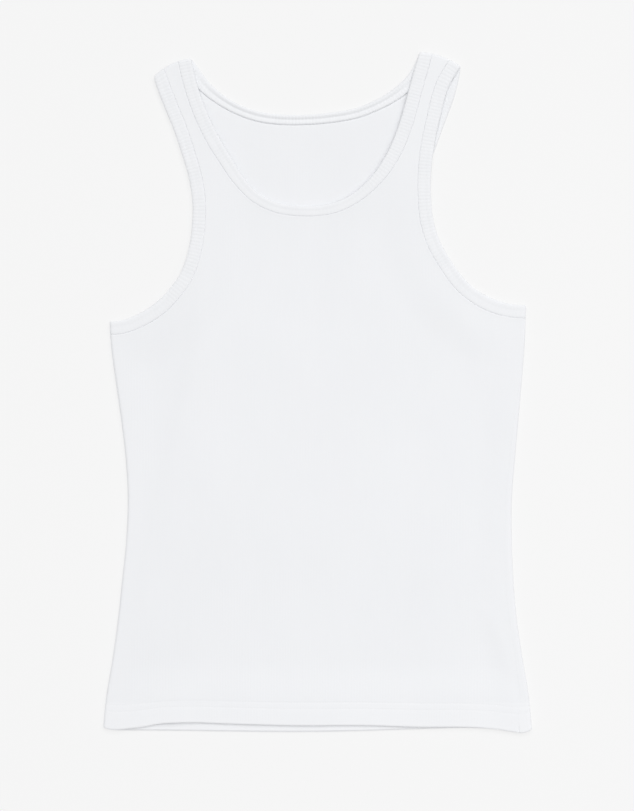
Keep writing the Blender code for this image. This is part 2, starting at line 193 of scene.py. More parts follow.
def from_flat(x, y, layer):
    """Where a point of the flat lies on the body, measured on past the folds."""
    turned = np.minimum(np.abs(x), 2 * (HALF_WIDTH + CREST_PAST_FOLD) - np.abs(x))
    hem = read(HEMS, layer, np.copysign(turned, x) * HEM_SPREAD)
    eased = hem + (y - HEM_LINE) * (HEM_LINE + HEM_EASE - hem) / HEM_EASE
    y = np.where(y < HEM_LINE + HEM_EASE, eased, y)
    middle, half = sides_at(y)
    across = np.abs(x)
    inner = across * (half - MARGIN) / (HALF_WIDTH - MARGIN)
    across = np.where(across <= HALF_WIDTH - MARGIN, inner, across + half - HALF_WIDTH)
    return middle + np.copysign(across, x), y


def strap_frame(side):
    """The middle of a strap's folded end, the direction across it and the one up it."""
    top = STRAP_TOPS[side]
    across = (top.inner - top.outer).normalized()
    up = Vector((-across.y, across.x))
    return (top.outer + top.inner) / 2, across, up if up.y > 0 else -up


def past_strap_fold(x, y, side):
    """How far a point has run up past the arched fold at the top of a strap."""
    top = STRAP_TOPS[side]
    middle, across, up = strap_frame(side)
    half = (top.inner - top.outer).length / 2
    share = ((x - middle.x) * across.x + (y - middle.y) * across.y) / half
    share = np.clip(share, -1.2, 1.2)
    return (x - middle.x) * up.x + (y - middle.y) * up.y - top.bow * (1 - share**2)


def around_fold(inside):
    """Inset from a fold's crest, and rise from 0 on the table to 1 on top, of front cloth
    that lies `inside` in from the fold; past the fold that number is negative."""
    turn = (FOLD_RADIUS - inside) / FOLD_RADIUS
    curved = np.clip(turn, 0, math.pi)
    inset = np.where(turn <= 0, inside, FOLD_RADIUS * (1 - np.sin(curved)))
    inset = np.where(turn >= math.pi, FOLD_RADIUS * (1 + turn - math.pi), inset)
    return inset, (1 + np.cos(curved)) / 2


# The front lies over the back. Its middle sinks on to the back, and it rides up on the
# side folds, on the hem and on the doubled bindings. Each of its creases is a soft ridge
# given from the bottom up by where its crest lies, how far it falls away to the left and
# to the right, and its height.
MIDDLE_HEIGHT = 3.4
EDGE_HEIGHT = 5.2
SLACK = 34.0  # how far in from a side fold or the hem the front comes down
SAG = 0.16  # slow unevenness of the cloth between its edges
ARMHOLE_MIDDLE, ARMHOLE_RADIUS = (178.0, 146.0), 80.0
Crest = namedtuple("Crest", "y x left right height")
CREASES = [
    [
        Crest(-255, -150, 40, 60, 0.0),
        Crest(-215, -146, 36, 60, 0.9),
        Crest(-165, -138, 28, 60, 1.8),
        Crest(-120, -129, 20, 70, 2.9),
        Crest(-80, -124, 18, 74, 3.2),
        Crest(-40, -116, 17, 74, 3.1),
        Crest(0, -108, 16, 74, 2.9),
        Crest(40, -99, 16, 70, 2.6),
        Crest(80, -98, 15, 60, 1.6),
        Crest(125, -92, 15, 50, 0.7),
        Crest(165, -88, 14, 40, 0.0),
    ],
    [
        Crest(-296, -132, 8, 20, 1.1),
        Crest(-280, -128, 8, 20, 1.1),
        Crest(-262, -123, 9, 20, 1.0),
        Crest(-248, -119, 10, 22, 0.6),
        Crest(-228, -116, 12, 24, 0.0),
    ],
    [
        Crest(-286, 168, 8, 8, 0.0),
        Crest(-262, 166, 7, 7, 0.6),
        Crest(-245, 163, 7, 8, 0.2),
        Crest(-226, 164, 9, 8, 0.7),
        Crest(-205, 155, 9, 9, 0.7),
        Crest(-180, 146, 10, 10, 0.0),
    ],
    [
        Crest(-5, 152, 12, 14, 0.0),
        Crest(20, 144, 12, 14, 0.4),
        Crest(50, 132, 12, 14, 0.4),
        Crest(85, 120, 12, 14, 0.0),
    ],
]


def crease_height(x, y):
    height = np.zeros_like(x)
    for rows in CREASES:
        off = x - read(rows, "x", y)
        reach = np.where(off < 0, read(rows, "left", y), read(rows, "right", y))
        height += np.maximum(read(rows, "height", y), 0) * np.exp(-((off / reach) ** 2))
    return height


def front_height(x, y):
    middle, half = sides_at(y)
    from_side = half - np.abs(x - middle)
    at_side = 1 - smoothstep(from_side, FOLD_RADIUS, SLACK)
    at_hem = 1 - smoothstep(y, HEM_LINE + HEM_DEPTH, HEM_LINE + HEM_DEPTH + SLACK)
    from_armhole = np.hypot(np.abs(x) - ARMHOLE_MIDDLE[0], y - ARMHOLE_MIDDLE[1]) - ARMHOLE_RADIUS
    at_armholes = 1 - smoothstep(from_armhole, BAND_WIDTH + 4, 50)
    at_straps = smoothstep(y, 130, 205)
    high = 1 - (1 - at_side) * (1 - at_hem) * (1 - at_armholes) * (1 - at_straps)
    folds = crease_height(x, y) * smoothstep(from_side, FOLD_RADIUS, 22)
    sag = SAG * np.sin(x / 31 + y / 83) * np.sin(y / 47 - x / 71) * smoothstep(from_side, 6, 40)
    return MIDDLE_HEIGHT + (EDGE_HEIGHT - MIDDLE_HEIGHT) * high + folds + sag


def outer_face(x, y, layer):
    """The outer face of a layer, and its rise from 0 on the table to 1 on top."""
    middle, half = sides_at(y)
    inset, rise = around_fold(half - np.abs(x - middle))
    laid_x, laid_y = middle + np.copysign(half - inset, x - middle), y
    for side in STRAP_TOPS:
        here = (y > STRAPS_FROM) & ((x < 0) == (side == "left"))
        past = past_strap_fold(x, y, side)
        inset, fold_rise = around_fold(-past)
        up = strap_frame(side)[2]
        laid_x = np.where(here, x - up.x * (past + inset), laid_x)
        laid_y = np.where(here, y - up.y * (past + inset), laid_y)
        rise = np.where(here, fold_rise, rise)
    if layer == BACK:
        rise = 1 - rise
    return np.stack([laid_x, laid_y, rise * front_height(laid_x, laid_y)], axis=-1), rise


def lay(x, y, above, layer):
    """Points `above` the outer face of a layer, in metres. What would stand proud of the
    face is pressed flat where the cloth lies on the table."""
    near = 0.05
    point, rise = outer_face(x, y, layer)
    run_x = outer_face(x + near, y, layer)[0] - outer_face(x - near, y, layer)[0]
    run_y = outer_face(x, y + near, layer)[0] - outer_face(x, y - near, layer)[0]
    outward = np.cross(run_x, run_y)
    outward /= np.linalg.norm(outward, axis=-1, keepdims=True)
    outward *= 1 if layer == FRONT else -1
    above = np.where(above > 0, above * rise, above)
    laid = point + outward * above[:, None]
    laid[:, 2] = np.maximum(laid[:, 2], 0.0)
    return laid * MM


def drawn_curve(points, step=0.5):
    """Points about every `step` along a smooth curve through the given ones."""
    points = [np.array(p, float) for p in points]
    ends = [2 * points[0] - points[1]] + points + [2 * points[-1] - points[-2]]
    line = []
    for p0, p1, p2, p3 in zip(ends, ends[1:], ends[2:], ends[3:]):
        a, b, c = (math.sqrt(np.linalg.norm(q - p)) for p, q in ((p0, p1), (p1, p2), (p2, p3)))
        leave = ((p1 - p0) / a - (p2 - p0) / (a + b) + (p2 - p1) / b) * b
        reach = ((p2 - p1) / b - (p3 - p1) / (b + c) + (p3 - p2) / c) * b
        count = max(2, round(np.linalg.norm(p2 - p1) / step))
        t = np.linspace(0, 1, count, endpoint=False)[:, None]
        line.append((2 * t**3 - 3 * t**2 + 1) * p1 + (t**3 - 2 * t**2 + t) * leave
                    + (3 * t**2 - 2 * t**3) * p2 + (t**3 - t**2) * reach)
    return np.vstack([*line, points[-1]])


NECK_ROLLED_WIDTH = 8.7  # the neck binding rolls in round the front dip and along the back
STRAP_SWING = 16.0  # below a strap's end the bindings' direction swings round over this length


class BoundEdge:
    """One bound edge of a layer, from fold to fold, with places set off from it by the
    distance along it and the distance in across its binding."""

    def __init__(self, layer, name):
        self.layer, self.name = layer, name
        points = [Vector(p) for p in EDGES[layer, name]]
        if name == "neck":
            start, end = (self.strap_crest(side, "inner") for side in ("left", "right"))
        else:
            middle, half = sides_at(points[0].y)
            crest_x = middle + math.copysign(half + CREST_PAST_FOLD, points[0].x)
            start, end = Vector((crest_x, points[0].y - 0.6)), self.strap_crest(name, "outer")
        points = [start, *points, end]
        self.line = drawn_curve(points)
        lengths = np.linalg.norm(np.diff(self.line, axis=0), axis=1)
        self.along = np.concatenate([[0], np.cumsum(lengths)])
        self.length = self.along[-1]
        tangent = np.gradient(self.line, self.along, axis=0)
        turn = 1 if name == "right" else -1
        inward = np.stack([-tangent[:, 1], tangent[:, 0]], axis=1) * turn
        for n in (0, -1):
            end = Vector(self.line[n])
            if end.y > STRAPS_FROM:
                away = np.linalg.norm(self.line - self.line[n], axis=1)
                near = 1 - smoothstep(away, 0, STRAP_SWING)
                inward += (np.array(self.toward_strap_middle(end)) - inward) * near[:, None]
        self.inward = inward / np.linalg.norm(inward, axis=1, keepdims=True)

    @staticmethod
    def strap_crest(side, corner):
        return getattr(STRAP_TOPS[side], corner) + strap_frame(side)[2] * CREST_PAST_FOLD

    @staticmethod
    def toward_strap_middle(point):
        """The way in across a strap at one end of its fold, along the fold's arch."""
        side = "left" if point.x < 0 else "right"
        top = STRAP_TOPS[side]
        middle, across, up = strap_frame(side)
        share = 1 - BAND_WIDTH / ((top.inner - top.outer).length / 2)
        rise = top.bow * (1 - share**2) / BAND_WIDTH
        return (across * math.copysign(1, (middle - point).dot(across)) + up * rise).normalized()

    def place(self, along, across):
        """X and Y on the body of points along the edge and in from it."""
        at = [np.interp(along, self.along, self.line[:, n]) for n in (0, 1)]
        way = [np.interp(along, self.along, self.inward[:, n]) for n in (0, 1)]
        return at[0] + way[0] * across, at[1] + way[1] * across

    def width(self, along):
        """The binding's width: the neck's rolls in round the front dip and along the back."""
        if self.name != "neck":
            return np.full_like(along, BAND_WIDTH)
        y = np.interp(along, self.along, self.line[:, 1])
        limits = (165, 215) if self.layer == FRONT else (246, 275)
        return NECK_ROLLED_WIDTH + (BAND_WIDTH - NECK_ROLLED_WIDTH) * smoothstep(y, *limits)


bound_edges = {key: BoundEdge(*key) for key in EDGES}


def up_to_shoulder(line, side):
    """A line cut off where it comes to the shoulder seam at the top of a strap."""
    limit = CREST_PAST_FOLD - SEAM_GAP / 2
    past = past_strap_fold(line[:, 0], line[:, 1], side)
    n = np.argmax(past >= limit)
    end = line[n - 1] + (line[n] - line[n - 1]) * (limit - past[n - 1]) / (past[n] - past[n - 1])
    return np.vstack([line[:n], end])


def cut_line(layer, name):
    """The edge of a panel along one binding, run on past the folds."""
    past_strap, past_side = 4, 12
    edge = bound_edges[layer, name]
    along = np.linspace(0, edge.length, round(edge.length / 2) + 1)
    cut = np.stack(edge.place(along, edge.width(along) + SEAM_GAP), axis=1)
    end = cut[-1] + (cut[-1] - cut[-2]) / np.linalg.norm(cut[-1] - cut[-2]) * past_strap
    if name == "neck":
        start = cut[0] + (cut[0] - cut[1]) / np.linalg.norm(cut[0] - cut[1]) * past_strap
    else:
        start = cut[0] + np.array([math.copysign(past_side, cut[0, 0]), 0])
    return np.vstack([start, cut, end])


def around_fold_arc(inset):
    """How far along the cloth, past where a flat fold would be, the upper layer is when it
    lies a given inset in from the fold's crest."""
    share = np.clip(1 - inset / FOLD_RADIUS, 0, 1)
    return np.where(inset >= FOLD_RADIUS, -inset, -FOLD_RADIUS + FOLD_RADIUS * np.arcsin(share))


def seam_in_flat(layer, side, y):
    """The flat X of a panel's side edge: one layer stops short of the fold's crest, and the
    other runs round it to meet that one."""
    inset = read(SEAM_INSETS, side, y)
    wraps = (layer == BACK) == (side == "right")
    short = HALF_WIDTH + around_fold_arc(inset) - SIDE_SEAM_GAP / 2
    long = HALF_WIDTH - around_fold_arc(inset) + (math.pi - 2) * FOLD_RADIUS - SIDE_SEAM_GAP / 2
    return (long if wraps else short) * (1 if side == "right" else -1)


GRID = 4.0
EDGE_RINGS = (0.2, 0.3, 0.4, 0.5, 0.6)  # from the edge in, each past the one before
SIDE_POINTS, HEM_POINTS = 120, 150
LEAST_STEP = 0.9
CORNER_TURN = 1.0  # radians


def panel_outline(layer):
    """The panel as it is cut, in the flat, anticlockwise from the left end of the hem. It has
    no points so close together, or to a corner, that the rings inside it would cross."""
    right = up_to_shoulder(cut_line(layer, "right"), "right")
    left = up_to_shoulder(cut_line(layer, "left"), "left")
    neck = up_to_shoulder(cut_line(layer, "neck"), "right")
    neck = up_to_shoulder(neck[::-1], "left")

    def over_strap(first, last, side):
        row = first + (last - first) * np.linspace(0, 1, 9)[1:-1, None]
        short_by = CREST_PAST_FOLD - SEAM_GAP / 2 - past_strap_fold(row[:, 0], row[:, 1], side)
        return row + np.array(strap_frame(side)[2]) * short_by[:, None]

    upper = np.vstack([right, over_strap(right[-1], neck[0], "right"), neck,
                       over_strap(neck[-1], left[-1], "left"), left[::-1]])
    upper = np.stack(to_flat(upper[:, 0], upper[:, 1]), axis=1)
    limit_right = seam_in_flat(layer, "right", upper[0, 1]) - 0.2
    limit_left = seam_in_flat(layer, "left", upper[-1, 1]) + 0.2
    upper = upper[(upper[:, 0] < limit_right) & (upper[:, 0] > limit_left)]
    up_right = np.linspace(HEM_LINE, upper[0, 1], SIDE_POINTS)
    down_left = np.linspace(upper[-1, 1], HEM_LINE, SIDE_POINTS)
    hem_ends = [seam_in_flat(layer, side, HEM_LINE) for side in ("left", "right")]
    along_hem = np.linspace(*hem_ends, HEM_POINTS)[1:-1]
    outline = np.vstack([
        np.stack([along_hem, np.full_like(along_hem, HEM_LINE)], axis=1),
        np.stack([seam_in_flat(layer, "right", up_right), up_right], axis=1),
        upper,
        np.stack([seam_in_flat(layer, "left", down_left), down_left], axis=1),
    ])
    steps = outline - np.roll(outline, 1, axis=0)
    outline = outline[np.hypot(steps[:, 0], steps[:, 1]) > LEAST_STEP]
    before = outline - np.roll(outline, 1, axis=0)
    after = np.roll(outline, -1, axis=0) - outline
    turn = np.angle((after[:, 0] + 1j * after[:, 1]) / (before[:, 0] + 1j * before[:, 1]))
    corner = np.abs(turn) > CORNER_TURN
    apart = outline[:, None] - outline[None, corner]
    from_corner = np.hypot(apart[..., 0], apart[..., 1]).min(axis=1)
    return outline[corner | (from_corner > sum(EDGE_RINGS) + 0.3)]


# How the outer face turns at an edge, at the edge itself and at each ring: down round the
# foot of the hem, hardly at all at a side seam, and over a low swell beside a binding.
HEM_EDGE = (-0.95, -0.50, -0.24, -0.08, 0.0, 0.0)
SIDE_EDGE = (-0.03, 0.0, 0.0, 0.0, 0.0, 0.0)
BOUND_EDGE = (-0.14, -0.02, 0.05, 0.08, 0.05, 0.0)
STITCH_ROWS = (15.0, 20.6)  # the twin-needle rows above the hem's edge
STITCH_DIP = 0.10


def cut_and_scored(layer):
    """The panel cut out flat, with rings that follow its edge and a grid to bend on."""
    mesh = bmesh.new()
    face = mesh.faces.new([mesh.verts.new((x, y, 0)) for x, y in panel_outline(layer)])
    for width in EDGE_RINGS:
        bmesh.ops.inset_region(mesh, faces=[face], thickness=width, use_boundary=True,
                               use_even_offset=False)

    def score(at, across, only=None):
        geometry = mesh.verts[:] + mesh.edges[:] + mesh.faces[:]
        if only:
            faces = [f for f in mesh.faces if only(f.calc_center_median())]
            geometry = list({g for f in faces for g in (f, *f.edges, *f.verts)})
        bmesh.ops.bisect_plane(mesh, geom=geometry, dist=1e-5, plane_co=(*at, 0),
                               plane_no=(*across, 0))

    folds = [HALF_WIDTH - 12, HALF_WIDTH - 9, HALF_WIDTH - 6.5, HALF_WIDTH - 4.4]
    folds += [HALF_WIDTH - FOLD_RADIUS + FOLD_RADIUS * math.pi * n / 14 for n in range(15)]
    columns = round(2 * (HALF_WIDTH - MARGIN) / GRID)
    grid = [(HALF_WIDTH - MARGIN) * (2 * n / columns - 1) for n in range(columns + 1)]
    for x in sorted(grid + folds + [-x for x in folds]):
        score((x, 0), (1, 0))
    hem_rows = [HEM_DEPTH - 0.2, HEM_DEPTH + 0.2, *np.cumsum(EDGE_RINGS)]
    for row in STITCH_ROWS:
        hem_rows += [row + off for off in (-1.3, -0.7, -0.3, 0, 0.3, 0.7, 1.3)]
    rows = round((276 - HEM_LINE) / GRID)
    grid_rows = [3 + GRID * n for n in range(rows)]
    for above_hem in sorted(hem_rows + grid_rows):
        score((0, HEM_LINE + above_hem), (0, 1))
    for side, top in STRAP_TOPS.items():
        middle, _, up = strap_frame(side)
        reach = -1 if side == "left" else 1
        for n in range(11):
            x, y = middle + up * (top.bow - FOLD_RADIUS * (1 - math.pi * n / 20))
            x, y = to_flat(x, y)
            score((x, y), up, only=lambda c: c.x * reach > 40 and c.y > STRAPS_FROM)
    return mesh


def distance_to(outline, x, y):
    """How far each point lies from a closed outline."""
    least = np.full_like(x, np.inf)
    for (x0, y0), (x1, y1) in zip(outline, np.roll(outline, -1, axis=0)):
        run_x, run_y = x1 - x0, y1 - y0
        share = np.clip(((x - x0) * run_x + (y - y0) * run_y) / (run_x**2 + run_y**2), 0, 1)
        least = np.minimum(least, (x - x0 - share * run_x) ** 2 + (y - y0 - share * run_y) ** 2)
    return np.sqrt(least)


def coordinates(data):
    flat = np.empty(len(data.vertices) * 3)
    data.vertices.foreach_get("co", flat)
    return flat.reshape(-1, 3)


def set_coordinates(data, points):
    data.vertices.foreach_set("co", np.asarray(points, dtype=np.float32).ravel())
    data.update()


def add_pattern_map(data, u, v):
    """A UV map in metres of cloth, from values at the vertices."""
    corner = np.empty(len(data.loops), dtype=np.int32)
    data.loops.foreach_get("vertex_index", corner)
    uv = np.stack([u[corner], v[corner]], axis=1).astype(np.float32)
    data.uv_layers.new(name="cloth").data.foreach_set("uv", uv.ravel())


def finished_object(name, data, material):
    piece = bpy.data.objects.new(name, data)
    bpy.context.scene.collection.objects.link(piece)
    data.materials.append(material)
    data.shade_smooth()
    return piece


def make_panel(name, layer, material):
    """Cut a panel, give it a wall, thicken it where the hem is turned up, and lay it."""
    ring_at = np.cumsum((0,) + EDGE_RINGS)
    mesh = cut_and_scored(layer)
    bmesh.ops.triangulate(mesh, faces=[f for f in mesh.faces if len(f.verts) > 4])
    made = bmesh.ops.extrude_face_region(mesh, geom=mesh.faces[:])["geom"]
    for item in made:
        if isinstance(item, bmesh.types.BMVert):
            item.co.z = -1
    bmesh.ops.recalc_face_normals(mesh, faces=mesh.faces[:])
    if layer == BACK:  # its outer face comes to lie downwards
        bmesh.ops.reverse_faces(mesh, faces=mesh.faces[:])
    data = bpy.data.meshes.new(name)
    mesh.to_mesh(data)
    mesh.free()
    x, y, inner = coordinates(data).T.copy()
    from_edge = distance_to(panel_outline(layer), x, y)
    above_hem = y - HEM_LINE
    in_hem = 1 - smoothstep(above_hem, HEM_DEPTH - 0.2, HEM_DEPTH + 0.2)
    thick = CLOTH + HEM_TURN_UP * in_hem
    pressed = sum(np.exp(-(((above_hem - row) / 0.6) ** 2)) for row in STITCH_ROWS) * STITCH_DIP
    on_side = (np.abs(x) > HALF_WIDTH - 20) & (y < 45)
    at_foot = above_hem < 4
    hem_edge, side_edge, bound_edge = (
        np.interp(from_edge, ring_at, edge) for edge in (HEM_EDGE, SIDE_EDGE, BOUND_EDGE))
    edge = np.where(at_foot, hem_edge, np.where(on_side, side_edge, bound_edge))
    inner_edge = np.where(at_foot, 1.0, 0.2) * np.clip(1 - from_edge / 1.2, 0, 1)
    above = np.where(inner < -0.5, inner_edge - thick, edge - pressed)
    on_x, on_y = from_flat(x, y, layer)
    set_coordinates(data, lay(on_x, on_y, above, layer))
    add_pattern_map(data, on_x * MM, on_y * MM)
    return finished_object(name, data, material)


class Value:
    """A number that varies over a surface. Python arithmetic on it adds Math nodes."""

    def __init__(self, finish, socket):
        self.finish, self.socket = finish, socket

    def math(self, operation, *others):
        return self.finish.number(operation, self, *others)

    def __add__(self, other):
        return self.math("ADD", other)

    def __sub__(self, other):
        return self.math("SUBTRACT", other)

    def __rsub__(self, other):
        return self.finish.number("SUBTRACT", other, self)

    def __mul__(self, other):
        return self.math("MULTIPLY", other)

    def __truediv__(self, other):
        return self.math("DIVIDE", other)

    def __pow__(self, other):
        return self.math("POWER", other)

    __radd__, __rmul__ = __add__, __mul__


class Finish:
    """A material and its node tree."""

    def __init__(self, name, colour, roughness, sheen=0.0):
        self.material = bpy.data.materials.new(name)
        self.material.use_nodes = True
        self.tree = self.material.node_tree
        self.shader = self.tree.nodes["Principled BSDF"]
        self.material.diffuse_color = (*colour, 1)
        for socket, value in (("Base Color", (*colour, 1)), ("Roughness", roughness),
                              ("Metallic", 0.0), ("Sheen Weight", sheen),
                              ("Sheen Roughness", 0.5), ("Specular IOR Level", 0.25)):
            self.shader.inputs[socket].default_value = value

    def node(self, kind, settings=None, inputs=None):
        """A node of a kind: its settings are set first, then the values or links of its sockets."""
        node = self.tree.nodes.new(kind)
        for key, value in (settings or {}).items():
            setattr(node, key, value)
        for key, value in (inputs or {}).items():
            if isinstance(value, Value):
                value = value.socket
            if isinstance(value, bpy.types.NodeSocket):
                self.tree.links.new(value, node.inputs[key])
            else:
                node.inputs[key].default_value = value
        return node

    def number(self, operation, *numbers):
        node = self.node("ShaderNodeMath", {"operation": operation}, dict(enumerate(numbers)))
        return Value(self, node.outputs[0])

    def cloth_map(self):
        """The two directions of the cloth, in metres, and both as a vector."""
        vector = self.node("ShaderNodeUVMap", {"uv_map": "cloth"}).outputs["UV"]
        parts = self.node("ShaderNodeSeparateXYZ", inputs={0: vector})
        return Value(self, parts.outputs[0]), Value(self, parts.outputs[1]), vector

    def noise(self, vector, stretch, scale, detail=2.0):
        """Soft noise from 0 to 1, in metres, stretched along the two directions."""
        spread = self.node("ShaderNodeMapping", inputs={"Vector": vector, "Scale": (*stretch, 1)})
        noise = self.node("ShaderNodeTexNoise", {"noise_dimensions": "2D"},
                          {"Vector": spread.outputs[0], "Scale": scale, "Detail": detail,
                           "Roughness": 0.55})
        return Value(self, noise.outputs["Fac"])

    def tint(self, share, dark, light):
        mix = self.node("ShaderNodeMix", {"data_type": "RGBA"},
                        {0: share, 6: (*dark, 1), 7: (*light, 1)})
        self.tree.links.new(mix.outputs[2], self.shader.inputs["Base Color"])

    def relief(self, height, distance, strength):
        bump = self.node("ShaderNodeBump", inputs={"Strength": strength, "Distance": distance,
                                                   "Height": height})
        self.tree.links.new(bump.outputs[0], self.shader.inputs["Normal"])


def fine_rib(name, dark, light, wale=1.32, course=1.05):
    """Cotton rib jersey: narrow wales run up the cloth, and each is a column of small loops.
    It looks whiter in the hem, where it is doubled."""
    finish = Finish(name, light, 0.9, sheen=0.12)
    u, v, vector = finish.cloth_map()
    drift = finish.noise(vector, (1, 0.25), 60)
    across = (u / (wale * MM) + drift * 0.8).math("FRACT")
    from_middle = (across - 0.5).math("ABSOLUTE") * 2
    wale_form = (1 - from_middle * from_middle).math("MAXIMUM", 0) ** 0.5
    loop = (v / (course * MM) + from_middle * 0.45).math("FRACT")
    loop_form = 1 - ((loop - 0.5) * 2) ** 2
    streak = finish.noise(vector, (1, 0.06), 520, 1.0)
    cloud = finish.noise(vector, (1, 0.5), 16, 3.0)
    fuzz = finish.noise(vector, (1, 1), 2600, 2.0)
    relief = wale_form * 0.6 + loop_form * wale_form * 0.3 + streak * 0.3 + fuzz * 0.15
    finish.relief(relief, distance=0.0002, strength=0.16)
    doubled = ((HEM_LINE + HEM_DEPTH) * MM - v).math("GREATER_THAN", 0)
    shade = streak * 0.15 + cloud * 0.6 + wale_form * 0.1 + fuzz * 0.15 + doubled * 0.3
    finish.tint(shade, dark, light)
    return finish.material


WHITE_DARK = (0.868, 0.878, 0.900)
WHITE_LIGHT = (0.918, 0.926, 0.946)
body_rib = fine_rib("white cotton rib", WHITE_DARK, WHITE_LIGHT)
back_panel = make_panel("back_panel_cloth", BACK, body_rib)
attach(back_panel, "root")
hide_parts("back_panel")


# ---------------------------------------------------------------- front panel
# The front, of the same rib and made in the same way, with a lower neck. Its left side
# runs under the fold, and its right side stops at the seam on top.
front_panel = make_panel("front_panel_cloth", FRONT, body_rib)
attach(front_panel, "root")
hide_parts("front_panel")


# ---------------------------------------------------------------- bindings
# Three strips of coarser rib, each doubled and sewn into a ring: one round the neck and
# one round each armhole. Their ribs run across the strip, the free edge is a soft roll,
# and a shallow groove along the middle is where a row of stitches draws them in.
RIB_PITCH = {"neck": 2.8, "left": 2.93, "right": 2.93}
RIB_DEPTH = 0.22
RIB_STEPS = 8  # columns of faces to a rib
STRETCHED_FLAT = {"neck": 158, "left": 58, "right": 58}  # below this height the ribs are faint
STRETCH_EASE = 55
# Corners across a binding, at distances from its free edge or from its seam. `curl` is how
# much the inner face swells where the back of the neck rolls in.
Corner = namedtuple("Corner", "from_free from_seam above rib curl")
FREE_EDGE = 17  # the corners past this one are on the inner face
BINDING_SECTION = [  # outer face from the seam to the free edge, then the inner face back
    Corner(None, -0.02, -0.60, 0.0, 0.0),
    Corner(None, 0.12, -0.16, 0.3, 0.0),
    Corner(None, 0.45, 0.04, 0.7, 0.0),
    Corner(None, 1.1, 0.17, 0.95, 0.0),
    Corner(None, 2.0, 0.23, 1.0, 0.0),
    Corner(None, 3.2, 0.23, 1.0, 0.0),
    Corner(None, 4.4, 0.18, 0.95, 0.0),
    Corner(5.7, None, 0.16, 0.95, 0.0),
    Corner(5.2, None, 0.12, 0.85, 0.0),
    Corner(4.7, None, 0.16, 0.9, 0.0),
    Corner(4.1, None, 0.22, 1.0, 0.0),
    Corner(3.2, None, 0.28, 1.0, 0.0),
    Corner(2.2, None, 0.27, 1.0, 0.0),
    Corner(1.3, None, 0.17, 1.0, 0.0),
    Corner(0.65, None, -0.08, 1.0, 0.0),
    Corner(0.2, None, -0.50, 0.9, 0.0),
    Corner(0.0, None, -0.95, 0.8, 0.0),
    Corner(0.2, None, -1.45, 0.8, -0.2),
    Corner(0.65, None, -1.85, 0.8, -0.5),
    Corner(1.4, None, -2.08, 0.8, -0.85),
    Corner(2.4, None, -2.18, 0.8, -0.95),
    Corner(3.6, None, -2.14, 0.7, -0.75),
    Corner(4.8, None, -2.05, 0.6, -0.3),
    Corner(5.6, None, -2.0, 0.6, 0.1),
    Corner(6.2, None, -2.1, 0.6, 0.0),
    Corner(None, 2.2, -2.15, 0.7, -0.25),
    Corner(None, 1.1, -2.1, 0.6, -0.3),
    Corner(None, 0.3, -1.8, 0.3, -0.1),
    Corner(None, -0.02, -1.4, 0.0, 0.0),
]


def make_binding(name, edge, material):
    """A long flat grid, closed into a tube and its ends joined, is laid round both edges."""
    front, back = bound_edges[FRONT, edge], bound_edges[BACK, edge]
    length = front.length + back.length
    around = len(BINDING_SECTION)
    ribs = round(length / RIB_PITCH[edge])
    count = ribs * RIB_STEPS
    mesh = bmesh.new()
    bmesh.ops.create_grid(mesh, x_segments=count, y_segments=around, size=0.5)
    data = bpy.data.meshes.new(name)
    mesh.to_mesh(data)
    mesh.free()
    flat = coordinates(data)
    station = np.rint((flat[:, 0] + 0.5) * count)
    corner = np.rint((flat[:, 1] + 0.5) * around).astype(int)
    along = station / count * length
    on_front = along <= front.length
    u = np.where(on_front, along, length - along)

    def section(column):
        values = [getattr(c, column) for c in BINDING_SECTION + BINDING_SECTION[:1]]
        return np.array([np.nan if v is None else v for v in values])[corner]

    from_free, from_seam = section("from_free"), section("from_seam")
    ways = {}
    for layer, bound in ((FRONT, front), (BACK, back)):
        width = bound.width(u)
        squeeze = width / BAND_WIDTH
        across = np.where(np.isnan(from_free), width - from_seam * squeeze, from_free * squeeze)
        ways[layer] = bound.place(u, across) + (across,)
    phase = along / length * ribs
    phase = phase + 0.10 * np.sin(along / 23) + 0.07 * np.sin(along / 9.1 + 1.3)
    form = np.abs(np.cos(np.pi * phase)) ** 0.7 - 0.62
    uneven = 1 + 0.25 * np.sin(along / 14.3 + 0.6) * np.sin(along / 5.7)
    faces_out = np.where(corner <= FREE_EDGE, 1.0, -1.0)
    height = np.where(on_front, ways[FRONT][1], ways[BACK][1])
    low = STRETCHED_FLAT[edge]
    strength = 0.3 + 0.7 * smoothstep(height, low, low + STRETCH_EASE)
    above = section("above") + faces_out * RIB_DEPTH * strength * section("rib") * form * uneven
    if edge == "neck":
        from_strap = np.minimum(u, back.length - u)
        above += np.where(on_front, 0, smoothstep(from_strap, 12, 45)) * section("curl")
    laid = {layer: lay(*ways[layer][:2], above, layer) for layer in (FRONT, BACK)}
    set_coordinates(data, np.where(on_front[:, None], laid[FRONT], laid[BACK]))
    across = np.where(on_front, ways[FRONT][2], ways[BACK][2])
    add_pattern_map(data, along * MM, across * MM)

    mesh = bmesh.new()
    mesh.from_mesh(data)
    bmesh.ops.remove_doubles(mesh, verts=mesh.verts[:], dist=2e-6)
    bmesh.ops.recalc_face_normals(mesh, faces=mesh.faces[:])
    if mesh.calc_volume(signed=True) < 0:
        bmesh.ops.reverse_faces(mesh, faces=mesh.faces[:])
    mesh.to_mesh(data)
    mesh.free()
    return finished_object(name, data, material)


def coarse_rib(name, dark, light, course=1.15):
    """The small loops and the bloom of the rib; its ribs are in the mesh."""
    finish = Finish(name, light, 0.88, sheen=0.12)
    _, v, vector = finish.cloth_map()
    loop = (v / (course * MM)).math("FRACT")
    loop_form = 1 - ((loop - 0.5) * 2) ** 2
    fuzz = finish.noise(vector, (1, 1), 2600, 2.0)
    patch = finish.noise(vector, (1, 1), 70, 2.0)
    finish.relief(loop_form * 0.6 + fuzz * 0.3, distance=0.00018, strength=0.4)
    finish.tint(patch * 0.7 + fuzz * 0.3, dark, light)
    return finish.material


